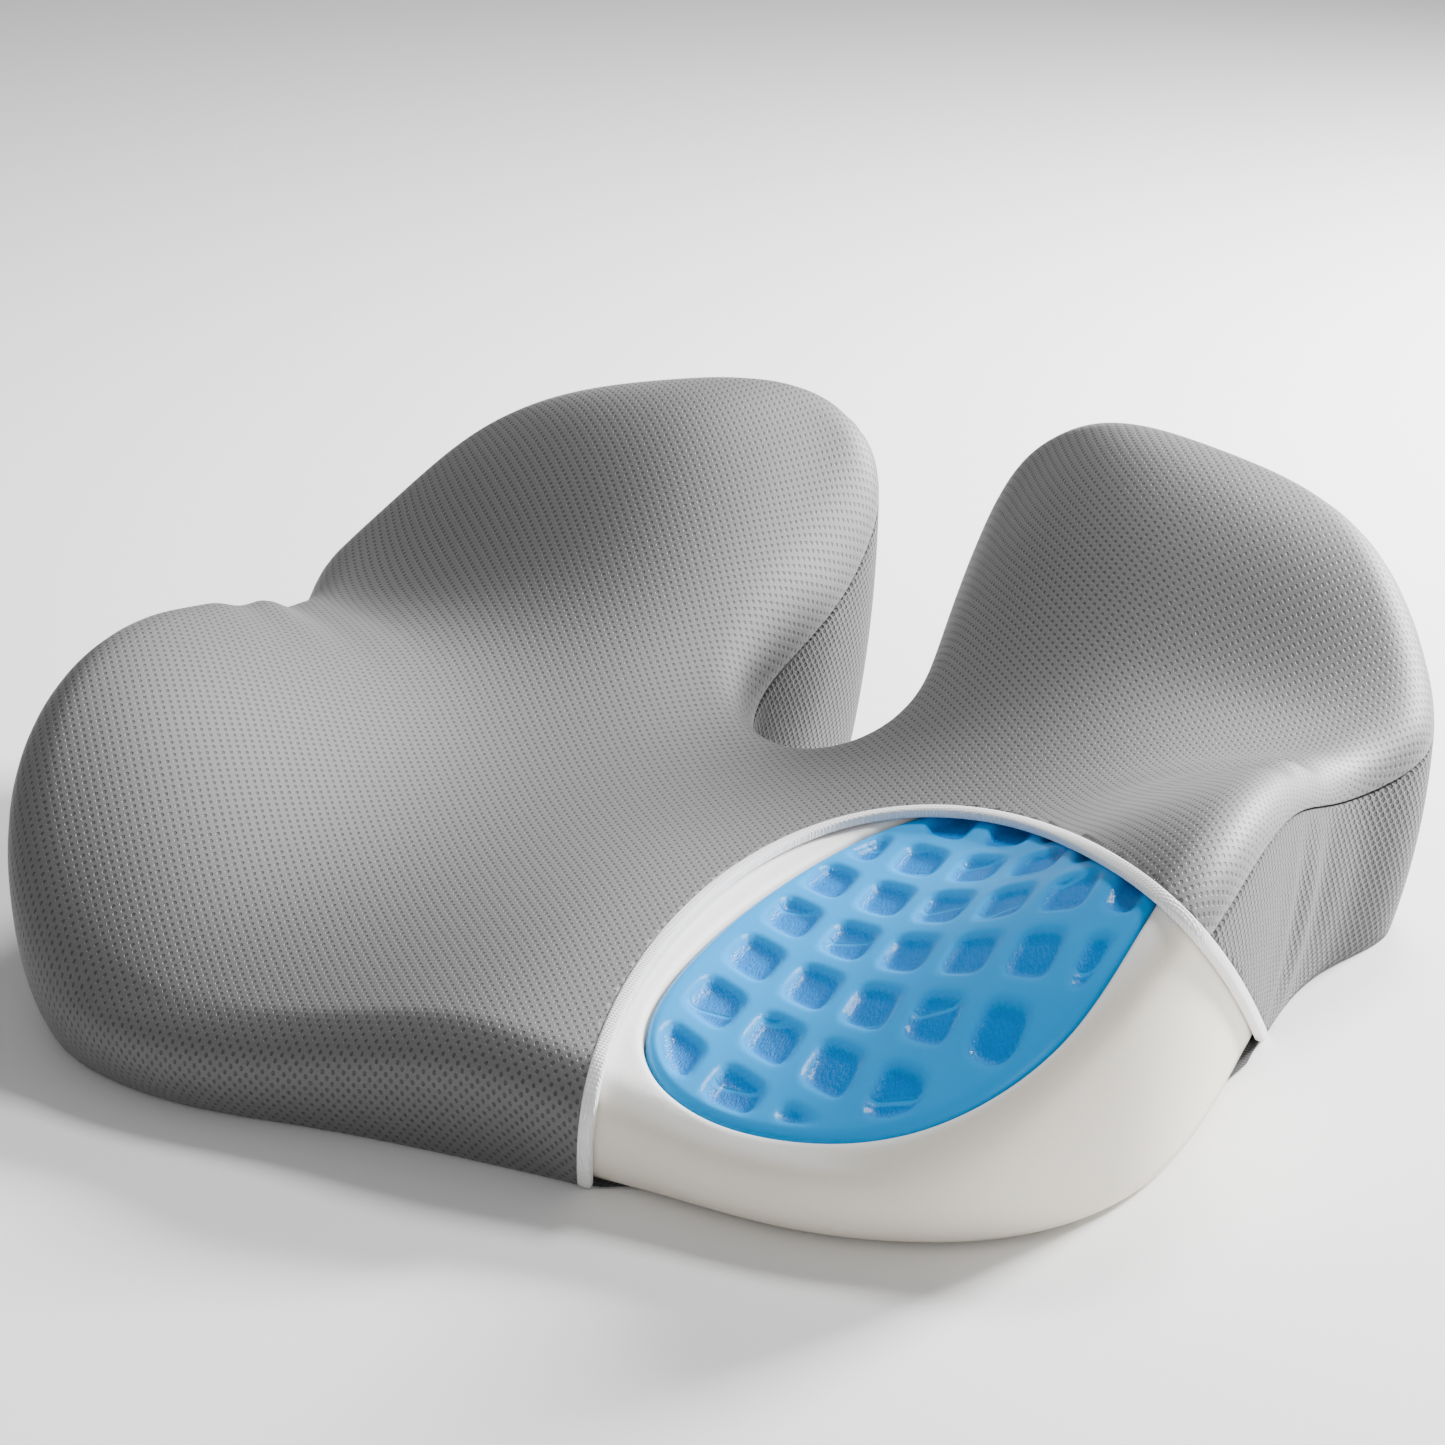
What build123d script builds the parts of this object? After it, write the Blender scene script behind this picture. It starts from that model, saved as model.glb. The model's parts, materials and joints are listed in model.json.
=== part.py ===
"""Contoured gel seat cushion: foam core, two gel pads, a fitted zip-off cover with a round window.

Frame: +Z up, +Y towards the back (the tailbone notch side), +X to the sitter's right.
The origin is on the floor under the centre of the cushion. Millimetres.
"""
from build123d import *

import os

# ---- cushion shape -------------------------------------------------------------------------
# Right half of the plan outline, from the middle of the front edge round to the notch.
HALF_OUTLINE = [
    (0, -196), (57, -198), (110, -201), (169, -180), (201, -134), (208, -74), (204, -4),
    (207, 55), (219, 94), (208, 132), (175, 168), (122, 191), (84, 203), (50, 207),
    (29, 199), (22, 178), (24, 140), (29, 105), (28, 82), (19, 66), (0, 60),
]
# Height of the seat surface at each distance from the centre line, for each station along Y.
COLUMNS = (0, 55, 110, 165, 235)
STATIONS = {
    -208: (46, 38, 34, 40, 50),
    -125: (54, 48, 56, 84, 90),
    -60: (56, 54, 66, 96, 108),
    10: (54, 60, 70, 86, 100),
    80: (58, 80, 92, 86, 88),
    140: (76, 114, 132, 124, 94),
    216: (112, 134, 131, 110, 88),
}
TALL = 200
INSET_SAMPLES = 60
FABRIC = 3.0
BASE_FABRIC = 2.0
EASE = 0.3
CORE_BASE_RADIUS = 7

# ---- cover panels --------------------------------------------------------------------------
SEAM_DROP = 15
SEAM_GROOVE = 0.6
APRON_END_Y = -115
WINDOW_CENTRE = Vector(151, -192, 37)
WINDOW_AXIS = Vector(0.315, -0.826, 0.467)
WINDOW_EYE_DISTANCE = 1015
WINDOW_SLOPE = 0.1
WINDOW_REACH = 260
WINDOW_BACK_LIMIT = 45
BINDING_WIDTH = 4.5
BINDING_PROUD = 0.8
BASE_SETBACK = 12

# ---- gel pads ------------------------------------------------------------------------------
GEL_OUTLINE = [
    (38, -105), (43, -55), (60, -8), (100, 18), (145, 12), (178, -22), (191, -75),
    (188, -125), (177, -157), (149, -177), (108, -186), (68, -183), (44, -160),
]
GEL_THICKNESS = 11
GEL_SIDE_GAP = 0.4
GEL_TOP_GAP = 0.4
GEL_FLOOR_GAP = 0.2

# ---- zip in a shallow channel across the underside -----------------------------------------
ZIP_Y = -30
ZIP_LENGTH = 300
CHANNEL_LENGTH = 344
CHANNEL_HALF = 15
CHANNEL_TOP = 13
LIP = 1.6
TAPE_Z = 9.0
TAPE_THICKNESS = 0.8
TAPE_INNER = 0.9
TOOTH_PITCH = 3.0
TOOTH_LENGTH = 1.9
TOOTH_HEIGHT = 2.2
TOOTH_INNER = 0.8
TOOTH_OUTER = 3.6
STOP_LENGTH = 3.0
STITCH_PITCH = 5.0
STITCH_LENGTH = 3.2
STITCH_SIZE = 0.5

# ---- slider and pull tab -------------------------------------------------------------------
SLIDER_X = 138
SLIDER_LENGTH = 13
SLIDER_HALF = 5.2
PLATE = 1.2
PLATE_GAP = 0.3
POST_LENGTH = 5
POST_WIDTH = 0.9
BRIDGE_LENGTH = 8
BRIDGE_WIDTH = 2.4
BRIDGE_ROOM = 2.0
BRIDGE_WALL = 0.8
TAB_LENGTH = 26
TAB_WIDTH = 7.0
TAB_THICKNESS = 1.4
TAB_LOOP_LENGTH = 9.5
TAB_LOOP_WIDTH = 3.4


def closed_curve(points, inset):
    """Smooth closed curve through anticlockwise points, moved inwards by inset."""
    curve = Edge.make_spline(points, periodic=True)
    if inset == 0:
        return curve
    moved = []
    for step in range(INSET_SAMPLES):
        share = step / INSET_SAMPLES
        inward = curve.tangent_at(share).cross(Vector(0, 0, -1))
        moved.append(curve.position_at(share) + inward * inset)
    return Edge.make_spline(moved, periodic=True)


def outline_curve(inset):
    """Plan outline of the cushion, moved inwards by inset."""
    right = [Vector(*point) for point in HALF_OUTLINE]
    left = [Vector(-point.X, point.Y) for point in right[-2:0:-1]]
    return closed_curve(right + left, inset)


def prism(inset, low, high):
    """Upright block with the plan of the cushion."""
    face = Face(Wire([outline_curve(inset)]))
    return Pos(0, 0, low) * Solid.extrude(face, Vector(0, 0, high - low))


def wall_ring(outer, inner, low, high):
    """Upright strip of cloth that follows the plan outline."""
    return prism(outer, low, high) - prism(inner, low - 1, high + 1)


def seat_surface(drop):
    """The seat's top surface, lowered by drop."""
    rows = []
    for y, heights in STATIONS.items():
        half = [Vector(x, y, height - drop) for x, height in zip(COLUMNS, heights)]
        mirrored = [Vector(-point.X, y, point.Z) for point in half[:0:-1]]
        rows.append(mirrored + half)
    return Face.make_surface_from_array_of_points(rows, tol=0.05)


def layer(drop, thickness):
    """Layer of constant upright thickness below the lowered seat surface."""
    return Solid.extrude(seat_surface(drop), Vector(0, 0, -thickness))


def block(x_range, y_range, z_range):
    """Box given by its limits."""
    lengths = [high - low for low, high in (x_range, y_range, z_range)]
    centre = [(high + low) / 2 for low, high in (x_range, y_range, z_range)]
    return Pos(*centre) * Box(*lengths)


def window_tool(margin):
    """Slightly tapered round tool that opens the cover over the front right lobe."""
    near = (WINDOW_EYE_DISTANCE - WINDOW_REACH) * WINDOW_SLOPE - margin
    far = (WINDOW_EYE_DISTANCE + WINDOW_REACH) * WINDOW_SLOPE - margin
    place = Plane(origin=WINDOW_CENTRE, z_dir=WINDOW_AXIS.normalized())
    cone = place * Cone(far, near, 2 * WINDOW_REACH)
    return cone & block((-100, 400), (-500, WINDOW_BACK_LIMIT), (-20, TALL))


def gel_prism(side, inset):
    """Upright block with the plan of one gel pad."""
    points = [Vector(side * x, y) for x, y in GEL_OUTLINE[::-side]]
    return Solid.extrude(Face(Wire([closed_curve(points, inset)])), Vector(0, 0, TALL))


def zip_channel(margin):
    """Space of the zip channel across the underside."""
    half = CHANNEL_HALF - margin
    end = CHANNEL_LENGTH / 2 - margin
    return block((-end, end), (ZIP_Y - half, ZIP_Y + half), (-5, CHANNEL_TOP))


def make_foam_core():
    """Moulded foam block with a rounded base edge, two gel recesses and the zip channel."""
    core = prism(FABRIC + EASE, BASE_FABRIC + EASE, TALL) & layer(FABRIC + EASE, TALL)
    core = core.solids()[0]
    core = core.fillet(CORE_BASE_RADIUS, core.edges().group_by(Axis.Z)[0])
    core = core - zip_channel(0)
    recess_drop = FABRIC + GEL_TOP_GAP + GEL_THICKNESS + GEL_FLOOR_GAP
    for side in (1, -1):
        core = core - (gel_prism(side, 0) - layer(recess_drop, TALL))
    return core


def make_gel_pad(side):
    """Gel pad that lies in its recess just under the cover."""
    return gel_prism(side, GEL_SIDE_GAP) & layer(FABRIC + GEL_TOP_GAP, GEL_THICKNESS)


def make_top_panel():
    """Spacer-mesh top cloth: the seat, its turned-down edge and the front apron, face to face."""
    seat = (prism(0, 0, TALL) & layer(0, FABRIC)) - window_tool(0)
    strip = wall_ring(0, FABRIC, 0, TALL) - window_tool(0)
    edge = strip & layer(FABRIC, SEAM_DROP - FABRIC)
    front = block((-260, 260), (-260, APRON_END_Y), (-10, TALL))
    apron = strip & layer(SEAM_DROP, TALL) & front
    return Compound(seat.solids() + edge.solids() + apron.solids())


def make_side_band():
    """Coarse-knit band along the sides, the back and through the notch."""
    behind_apron = block((-260, 260), (APRON_END_Y + SEAM_GROOVE, 260), (-10, TALL))
    strip = wall_ring(0, FABRIC, 0, TALL) - window_tool(0)
    return strip & layer(SEAM_DROP + SEAM_GROOVE, TALL) & behind_apron


def make_window_binding():
    """White tape that edges the window in the cover."""
    proud = BINDING_PROUD
    ring = window_tool(EASE) - window_tool(BINDING_WIDTH)
    seat = prism(-proud, 0, TALL) & layer(-proud, FABRIC + proud) & ring
    strip = wall_ring(-proud, FABRIC, 0, TALL) & layer(FABRIC, TALL) & ring
    return Compound(seat.solids() + strip.solids())


def make_base_panel(front):
    """Base cloth in front of or behind the zip, with its edge turned up into the channel."""
    y_range = (-260, ZIP_Y) if front else (ZIP_Y, 260)
    half_plane = block((-260, 260), y_range, (-10, TALL))
    sheet = prism(FABRIC + EASE, 0, BASE_FABRIC)
    setback = wall_ring(0, FABRIC + BASE_SETBACK, -1, BASE_FABRIC + 1) & window_tool(0)
    sheet = sheet - setback - zip_channel(LIP)
    lip = zip_channel(0) - zip_channel(LIP)
    lip = lip & block((-260, 260), (-260, 260), (BASE_FABRIC, TAPE_Z + TAPE_THICKNESS))
    return (sheet + lip) & half_plane


def on_side(front, near, far):
    """Y limits of a strip at one side of the zip's centre line."""
    return (ZIP_Y - far, ZIP_Y - near) if front else (ZIP_Y + near, ZIP_Y + far)


def make_zip_tape(front):
    """Woven tape between the channel lip and the teeth."""
    end = ZIP_LENGTH / 2 + 8
    y_range = on_side(front, TAPE_INNER, CHANNEL_HALF - LIP)
    return block((-end, end), y_range, (TAPE_Z, TAPE_Z + TAPE_THICKNESS))


def make_zip_teeth(front):
    """Row of separate teeth under the inner edge of one tape."""
    count = int(ZIP_LENGTH / TOOTH_PITCH) - 3
    shift = TOOTH_PITCH / 4 if front else -TOOTH_PITCH / 4
    y_range = on_side(front, TOOTH_INNER, TOOTH_OUTER)
    teeth = []
    for index in range(count):
        x = (index - (count - 1) / 2) * TOOTH_PITCH + shift
        x_range = (x - TOOTH_LENGTH / 2, x + TOOTH_LENGTH / 2)
        teeth.append(block(x_range, y_range, (TAPE_Z - TOOTH_HEIGHT, TAPE_Z)))
    return Compound(teeth)


def make_top_stop(front):
    """Stop at the closed end of one tape."""
    start = ZIP_LENGTH / 2
    y_range = on_side(front, TOOTH_INNER, TOOTH_OUTER)
    return block((start, start + STOP_LENGTH), y_range, (TAPE_Z - TOOTH_HEIGHT, TAPE_Z))


def make_bottom_stop():
    """Stop across both tapes at the open end."""
    start = -ZIP_LENGTH / 2
    y_range = (ZIP_Y - TOOTH_OUTER, ZIP_Y + TOOTH_OUTER)
    return block((start - STOP_LENGTH, start), y_range, (TAPE_Z - TOOTH_HEIGHT, TAPE_Z))


def make_zip_stitching(front):
    """Line of lockstitches that holds one tape to the cover."""
    middle = (CHANNEL_HALF - LIP + TOOTH_OUTER) / 2 + 2
    y_range = on_side(front, middle - STITCH_SIZE / 2, middle + STITCH_SIZE / 2)
    count = int(ZIP_LENGTH / STITCH_PITCH)
    stitches = []
    for index in range(count):
        x = (index - (count - 1) / 2) * STITCH_PITCH
        x_range = (x - STITCH_LENGTH / 2, x + STITCH_LENGTH / 2)
        stitches.append(block(x_range, y_range, (TAPE_Z - STITCH_SIZE, TAPE_Z)))
    return Compound(stitches)


LOWER_PLATE_TOP = TAPE_Z - TOOTH_HEIGHT - PLATE_GAP
LOWER_PLATE_BASE = LOWER_PLATE_TOP - PLATE
HINGE_Z = LOWER_PLATE_BASE - BRIDGE_ROOM / 2


def make_slider_body():
    """Two plates round the chain, joined by the central post, with turned flanges."""
    x_range = (SLIDER_X - SLIDER_LENGTH / 2, SLIDER_X + SLIDER_LENGTH / 2)
    y_range = (ZIP_Y - SLIDER_HALF, ZIP_Y + SLIDER_HALF)
    tape_top = TAPE_Z + TAPE_THICKNESS
    lower = block(x_range, y_range, (LOWER_PLATE_BASE, LOWER_PLATE_TOP))
    upper = block(x_range, y_range, (tape_top + PLATE_GAP, tape_top + PLATE_GAP + PLATE))
    lower = fillet(lower.edges().filter_by(Axis.Z), 2.5)
    upper = fillet(upper.edges().filter_by(Axis.Z), 2.5)
    post = block(
        (SLIDER_X - POST_LENGTH / 2, SLIDER_X + POST_LENGTH / 2),
        (ZIP_Y - POST_WIDTH / 2, ZIP_Y + POST_WIDTH / 2),
        (LOWER_PLATE_TOP - 0.1, tape_top + PLATE_GAP + 0.1),
    )
    body = lower + upper + post
    flange_x = (SLIDER_X - SLIDER_LENGTH / 2 + 2.5, SLIDER_X + SLIDER_LENGTH / 2 - 2.5)
    for front in (True, False):
        flange_y = on_side(front, SLIDER_HALF - 1.0, SLIDER_HALF)
        body = body + block(flange_x, flange_y, (LOWER_PLATE_TOP - 0.1, TAPE_Z - PLATE_GAP))
    return body


def make_slider_bridge():
    """Arched bridge under the slider that holds the pull tab."""
    x_range = (SLIDER_X - BRIDGE_LENGTH / 2, SLIDER_X + BRIDGE_LENGTH / 2)
    y_range = (ZIP_Y - BRIDGE_WIDTH / 2, ZIP_Y + BRIDGE_WIDTH / 2)
    low = LOWER_PLATE_BASE - BRIDGE_ROOM - BRIDGE_WALL
    arch = block(x_range, y_range, (low, LOWER_PLATE_BASE))
    room_x = (x_range[0] + BRIDGE_WALL, x_range[1] - BRIDGE_WALL)
    room = block(room_x, (ZIP_Y - 9, ZIP_Y + 9), (low + BRIDGE_WALL, LOWER_PLATE_BASE + 1))
    arch = fillet(arch.edges().filter_by(Axis.Y).group_by(Axis.Z)[0], BRIDGE_WALL * 0.9)
    return arch - room


def make_pull_tab():
    """Flat pull tab whose cross bar turns in the bridge."""
    bar_radius = TAB_THICKNESS / 2
    z_range = (HINGE_Z - bar_radius, HINGE_Z + bar_radius)
    tab_end = SLIDER_X - TAB_LENGTH
    plate = block((tab_end, SLIDER_X), (ZIP_Y - TAB_WIDTH / 2, ZIP_Y + TAB_WIDTH / 2), z_range)
    plate = fillet(plate.edges().filter_by(Axis.Z).group_by(Axis.X)[0], TAB_WIDTH * 0.45)
    loop = block(
        (SLIDER_X - TAB_LOOP_LENGTH, SLIDER_X + 1),
        (ZIP_Y - TAB_LOOP_WIDTH / 2, ZIP_Y + TAB_LOOP_WIDTH / 2),
        (z_range[0] - 1, z_range[1] + 1),
    )
    bar = Pos(SLIDER_X, ZIP_Y, HINGE_Z) * Rot(90, 0, 0) * Cylinder(bar_radius, TAB_WIDTH)
    grip_x = tab_end + TAB_WIDTH / 2
    grip_hole = Pos(grip_x, ZIP_Y, HINGE_Z) * Cylinder(TAB_WIDTH * 0.2, TAB_THICKNESS * 2)
    return plate - loop + bar - grip_hole


def main():
    """Write one STEP file for each piece."""
    pieces = {
        "foam_core": make_foam_core(),
        "gel_pad_right": make_gel_pad(1),
        "gel_pad_left": make_gel_pad(-1),
        "cover_top_panel": make_top_panel(),
        "cover_side_band": make_side_band(),
        "window_binding": make_window_binding(),
        "cover_base_front": make_base_panel(True),
        "cover_base_rear": make_base_panel(False),
        "zip_tape_front": make_zip_tape(True),
        "zip_tape_rear": make_zip_tape(False),
        "zip_teeth_front": make_zip_teeth(True),
        "zip_teeth_rear": make_zip_teeth(False),
        "zip_top_stop_front": make_top_stop(True),
        "zip_top_stop_rear": make_top_stop(False),
        "zip_bottom_stop": make_bottom_stop(),
        "zip_stitching_front": make_zip_stitching(True),
        "zip_stitching_rear": make_zip_stitching(False),
        "slider_body": make_slider_body(),
        "slider_bridge": make_slider_bridge(),
        "pull_tab": make_pull_tab(),
    }
    os.makedirs("parts", exist_ok=True)
    for name, piece in pieces.items():
        export_step(piece, f"parts/{name}.step")


main()
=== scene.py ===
"""Contoured gel seat cushion with its mesh cover cut open by a round window over foam and gel."""
import json
from math import cos, pi, radians, sin

import bmesh
import bpy
import numpy as np
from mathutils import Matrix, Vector
from mathutils.bvhtree import BVHTree
from mathutils.geometry import delaunay_2d_cdt


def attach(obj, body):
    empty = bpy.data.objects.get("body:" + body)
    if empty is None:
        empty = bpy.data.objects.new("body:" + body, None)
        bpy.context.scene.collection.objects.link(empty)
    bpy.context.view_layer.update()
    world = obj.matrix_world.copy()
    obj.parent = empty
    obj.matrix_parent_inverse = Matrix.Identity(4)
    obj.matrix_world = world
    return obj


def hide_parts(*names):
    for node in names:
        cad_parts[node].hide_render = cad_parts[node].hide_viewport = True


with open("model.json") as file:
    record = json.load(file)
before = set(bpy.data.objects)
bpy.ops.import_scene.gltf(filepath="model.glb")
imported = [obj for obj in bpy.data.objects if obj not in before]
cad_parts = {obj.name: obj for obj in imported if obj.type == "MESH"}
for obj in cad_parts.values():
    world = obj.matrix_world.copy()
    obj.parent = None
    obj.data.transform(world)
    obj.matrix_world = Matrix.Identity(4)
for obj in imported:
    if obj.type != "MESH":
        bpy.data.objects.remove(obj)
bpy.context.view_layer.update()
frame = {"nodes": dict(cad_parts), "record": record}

# ---- driving dimensions, in millimetres ----------------------------------------------------
MM = 0.001
HALF_OUTLINE = [
    (0, -196), (57, -198), (110, -201), (169, -180), (201, -134), (208, -74), (204, -4),
    (207, 55), (219, 94), (208, 132), (175, 168), (122, 191), (84, 203), (50, 207),
    (29, 199), (22, 178), (24, 140), (29, 105), (28, 82), (19, 66), (0, 60),
]
COLUMNS = (0, 55, 110, 165, 230)
STATIONS = {
    -190: (46, 38, 34, 40, 50),
    -125: (54, 48, 56, 84, 90),
    -60: (56, 54, 66, 96, 108),
    10: (54, 60, 70, 86, 100),
    80: (58, 80, 92, 86, 88),
    140: (76, 114, 132, 124, 94),
    200: (120, 143, 140, 118, 92),
}
EDGE_RADIUS = 16
BASE_INSET = 10
RIM_SAMPLES = 760
FABRIC = 3.0
APRON_END_Y = -115
GROOVE = 0.7
WINDOW_CENTRE = np.array((151.0, -192.0, 37.0))
WINDOW_AXIS = np.array((0.315, -0.826, 0.467))
WINDOW_EYE_DISTANCE = 1015
WINDOW_SLOPE = 0.1
WINDOW_BACK_LIMIT = 45
BINDING_WIDTH = 4.6
GEL_OUTLINE = [
    (38, -105), (43, -55), (60, -8), (100, 18), (145, 12), (178, -22), (191, -75),
    (188, -125), (177, -157), (149, -177), (108, -186), (68, -183), (44, -160),
]
GEL_DROP = 3.4
GEL_THICKNESS = 11
GEL_EDGE = 3.5
CELL_ORIGIN = np.array((57.0, -77.0))
CELL_ACROSS = np.array((24.8, -12.0))
CELL_ALONG = np.array((0.5, 28.5))
CELL_DEPTH = 2.6
ZIP_Y = -30
CHANNEL_END = 172
CHANNEL_HALF = 15
CHANNEL_TOP = 13
EASE = 0.3
FOAM_BASE_Z = 2.3
RECESS_LIP = 3.2
HEM_Z = 0.3
BASE_CLOTH_Z = 0.7
LIP_TOP_Z = 8.8
END_CLOTH_Z = 9.4
CHANNEL_LINING = 1.6
DOT_SPACING = 13
STUDIO_LIGHTS = {
    "back": ((0.85, 1.25, 0.72), 0.4, 120),
    "top": ((0.15, 0.75, 1.35), 0.4, 22),
    "front": ((0.8, -1.4, 0.7), 0.8, 5),
}
WORLD_STRENGTH = 0.34
ZIP_TAPE_END = 158.5
CAMERA_AZIMUTH = 24.73
CAMERA_ELEVATION = 20.78
CAMERA_DISTANCE = 1237.8
CAMERA_TARGET = np.array((-13.1, 20.9, 71.0))
CAMERA_LENS = 87.86


# ---- curves and surfaces -------------------------------------------------------------------
def spline_rows(knots, x):
    """Weights that turn values at the knots into a not-a-knot cubic spline at x."""
    knots = np.asarray(knots, float)
    count = len(knots)
    step = np.diff(knots)
    system = np.zeros((count, count))
    right = np.zeros((count, count))
    for i in range(1, count - 1):
        system[i, i - 1:i + 2] = step[i - 1], 2 * (step[i - 1] + step[i]), step[i]
        right[i, i - 1] = 6 / step[i - 1]
        right[i, i + 1] = 6 / step[i]
        right[i, i] = -right[i, i - 1] - right[i, i + 1]
    system[0, :3] = step[1], -step[0] - step[1], step[0]
    system[-1, -3:] = step[-1], -step[-1] - step[-2], step[-2]
    bend = np.linalg.solve(system, right)
    x = np.clip(x, knots[0], knots[-1])
    cell = np.clip(np.searchsorted(knots, x) - 1, 0, count - 2)
    width = step[cell]
    a = (knots[cell + 1] - x) / width
    b = 1 - a
    eye = np.eye(count)
    rows = a[:, None] * eye[cell] + b[:, None] * eye[cell + 1]
    rows += ((a**3 - a) * width**2 / 6)[:, None] * bend[cell]
    rows += ((b**3 - b) * width**2 / 6)[:, None] * bend[cell + 1]
    return rows


def mirrored_columns():
    """Station grid across the whole width."""
    half = np.array(list(STATIONS.values()), float)
    across = np.array([-x for x in COLUMNS[:0:-1]] + list(COLUMNS), float)
    return across, np.hstack([half[:, :0:-1], half])


def seat_height(xy):
    """Height of the cover's top surface, before its edge is rounded."""
    across, grid = mirrored_columns()
    rows_y = spline_rows(list(STATIONS), xy[:, 1])
    rows_x = spline_rows(across, xy[:, 0])
    return np.einsum("ni,ij,nj->n", rows_y, grid, rows_x)


def closed_spline(points, count):
    """Evenly spaced points and outward normals along a smooth closed curve."""
    points = np.asarray(points, float)
    ring = np.vstack([points, points[:1]])
    knots = np.r_[0, np.cumsum(np.sqrt(np.linalg.norm(np.diff(ring, axis=0), axis=1)))]
    n = len(points)
    step = np.diff(knots)
    system = np.zeros((n, n))
    right = np.zeros((n, 2))
    for i in range(n):
        before, after = step[i - 1], step[i]
        system[i, i - 1] += before
        system[i, i] += 2 * (before + after)
        system[i, (i + 1) % n] += after
        right[i] = 6 * ((ring[i + 1] - ring[i]) / after - (ring[i] - points[i - 1]) / before)
    bend = np.linalg.solve(system, right)
    bend = np.vstack([bend, bend[:1]])
    fine = np.linspace(0, knots[-1], count * 8 + 1)[:-1]

    def evaluate(at):
        cell = np.clip(np.searchsorted(knots, at, side="right") - 1, 0, n - 1)
        width = step[cell][:, None]
        a = (knots[cell + 1][:, None] - at[:, None]) / width
        b = 1 - a
        curve = a * ring[cell] + b * ring[cell + 1]
        curve += ((a**3 - a) * bend[cell] + (b**3 - b) * bend[cell + 1]) * width**2 / 6
        return curve

    dense = evaluate(fine)
    closed = np.vstack([dense, dense[:1]])
    length = np.r_[0, np.cumsum(np.linalg.norm(np.diff(closed, axis=0), axis=1))]
    wanted = np.linspace(0, length[-1], count, endpoint=False)
    at = np.interp(wanted, length, np.r_[fine, knots[-1]])
    curve = evaluate(at)
    tangent = np.roll(curve, -1, axis=0) - np.roll(curve, 1, axis=0)
    tangent /= np.linalg.norm(tangent, axis=1)[:, None]
    return curve, np.stack([tangent[:, 1], -tangent[:, 0]], 1)


def distance_inside(xy, ring):
    """Signed distance to a closed ring, positive inside."""
    distance = np.empty(len(xy))
    inside = np.zeros(len(xy), bool)
    nearest = np.empty(len(xy), int)
    for start in range(0, len(xy), 4000):
        part = xy[start:start + 4000]
        gap = np.linalg.norm(part[:, None] - ring[None], axis=2)
        nearest[start:start + 4000] = gap.argmin(1)
        distance[start:start + 4000] = gap.min(1)
    following = np.roll(ring, -1, axis=0)
    for (x0, y0), (x1, y1) in zip(ring, following):
        crosses = (y0 > xy[:, 1]) != (y1 > xy[:, 1])
        if crosses.any():
            x_at = x0 + (xy[:, 1] - y0) * (x1 - x0) / (y1 - y0 + 1e-12)
            inside ^= crosses & (xy[:, 0] < x_at)
    return np.where(inside, distance, -distance), nearest


def grid_points(low, high, step):
    """Staggered grid of plan points."""
    xs = np.arange(low[0], high[0], step)
    ys = np.arange(low[1], high[1], step * 0.87)
    points = np.stack(np.meshgrid(xs, ys), -1)
    points[1::2, :, 0] += step / 2
    return points.reshape(-1, 2)


def triangulate(xy, keep):
    """Delaunay triangles of plan points, kept where the test on their centres holds."""
    verts, _, faces, _, _, _ = delaunay_2d_cdt([Vector(p) for p in xy], [], [], 0, 1e-5)
    flat = np.array([tuple(v) for v in verts])
    faces = np.array([f[:3] for f in faces])
    return flat, faces[keep(flat[faces].mean(1))]


OUTLINE = [tuple(p) for p in HALF_OUTLINE]
OUTLINE += [(-x, y) for x, y in HALF_OUTLINE[-2:0:-1]]
RIM, RIM_OUT = closed_spline(OUTLINE, RIM_SAMPLES)
GEL_RING, GEL_OUT = closed_spline(GEL_OUTLINE[::-1], 260)


def rounded_height(xy, distance, radius, drop):
    """Seat surface lowered by drop, with its edge rolled over at the given radius."""
    share = np.clip(1 - distance / radius, 0, 1)
    return seat_height(xy) - drop - radius * (1 - np.sqrt(1 - share**2))


def cloth_coordinates(xy):
    """Distances along the cloth from the middle of the front edge, across and front to back."""
    step = 4.0
    xs = np.arange(-236, 237, step)
    ys = np.arange(-212, 221, step)
    mesh = np.stack(np.meshgrid(xs, ys), -1).reshape(-1, 2)
    height = seat_height(mesh).reshape(len(ys), len(xs))
    along_x = np.sqrt(1 + np.gradient(height, step, axis=1)**2)
    along_y = np.sqrt(1 + np.gradient(height, step, axis=0)**2)
    across = np.cumsum(along_x, axis=1) * step
    across -= across[:, len(xs) // 2][:, None]
    depth = np.cumsum(along_y, axis=0) * step
    col = np.clip((xy[:, 0] - xs[0]) / step, 0, len(xs) - 1.001)
    row = np.clip((xy[:, 1] - ys[0]) / step, 0, len(ys) - 1.001)
    c, r = col.astype(int), row.astype(int)
    fc, fr = col - c, row - r

    def sample(values):
        low = values[r, c] * (1 - fc) + values[r, c + 1] * fc
        high = values[r + 1, c] * (1 - fc) + values[r + 1, c + 1] * fc
        return low * (1 - fr) + high * fr

    return np.stack([sample(across), sample(depth)], 1)


# ---- mesh helpers --------------------------------------------------------------------------
class Sheet:
    """Vertices in millimetres, faces, and cloth coordinates in millimetres."""

    def __init__(self, verts, faces, uv):
        self.verts = np.asarray(verts, float)
        self.faces = [tuple(int(i) for i in f) for f in faces]
        self.uv = np.asarray(uv, float)

    def joined(self, other):
        shift = len(self.verts)
        faces = self.faces + [tuple(i + shift for i in f) for f in other.faces]
        return Sheet(np.vstack([self.verts, other.verts]), faces, np.vstack([self.uv, other.uv]))


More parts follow.
